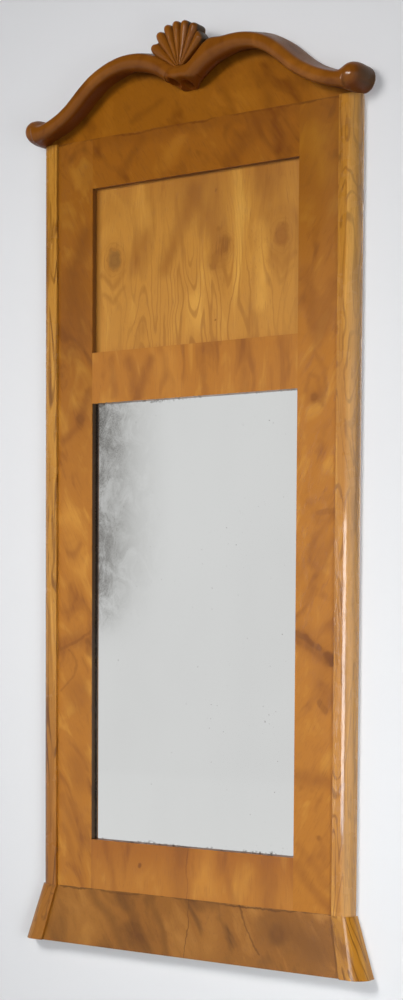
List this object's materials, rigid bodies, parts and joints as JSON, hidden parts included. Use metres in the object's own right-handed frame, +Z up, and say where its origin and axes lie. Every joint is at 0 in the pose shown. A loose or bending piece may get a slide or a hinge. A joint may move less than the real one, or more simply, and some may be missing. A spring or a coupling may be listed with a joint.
{
  "type": "wall mirror",
  "caption": "Tall narrow wall mirror in a veneered wooden frame with a plain upper panel, rounded corner pilasters, a flared plinth and a curved crest with a carved scallop shell.",
  "frame": {"origin": "on the wall plane, in the middle of the width, at the underside of the plinth", "axes": "+Z up, +X to the right for someone who faces the mirror, the front faces -Y and the back lies on the wall plane Y = 0"},
  "size_m": [0.676, 0.0621, 1.4916],
  "materials": {
    "frame_veneer": "honey brown figured veneer, shellac polish",
    "panel_veneer": "golden brown flat-sawn veneer, shellac polish",
    "crest_veneer": "brown veneer, shellac polish",
    "plinth_veneer": "dark brown veneer, shellac polish",
    "pilaster_wood": "strongly grained elm or ash, glossy",
    "carved_wood": "brown stained carved wood, waxed",
    "pine": "bare softwood",
    "mirror": "old mirror glass with clouded silvering",
    "iron": "dark iron",
    "screw_steel": "plain steel"
  },
  "bodies": {
    "root": {"stile_left": "frame_veneer", "stile_right": "frame_veneer", "bottom_rail": "frame_veneer", "mid_rail": "frame_veneer", "top_rail": "frame_veneer", "pilaster_left": "pilaster_wood", "pilaster_right": "pilaster_wood", "foot_left": "pilaster_wood", "foot_right": "pilaster_wood", "plinth_core": "pine", "plinth_facing": "plinth_veneer", "upper_panel": "panel_veneer", "mirror_glass": "mirror", "backboard_lower": "pine", "backboard_middle": "pine", "backboard_upper": "pine", "backboard_brads": "iron", "crest_board": "crest_veneer", "crest_moulding_left": "carved_wood", "crest_moulding_right": "carved_wood", "crest_knob_left": "carved_wood", "crest_knob_right": "carved_wood", "shell": "carved_wood", "shell_drop": "carved_wood", "frame_dowels": "pine", "hanging_plates": "iron", "hanging_screws": "screw_steel"}
  },
  "joints": []
}
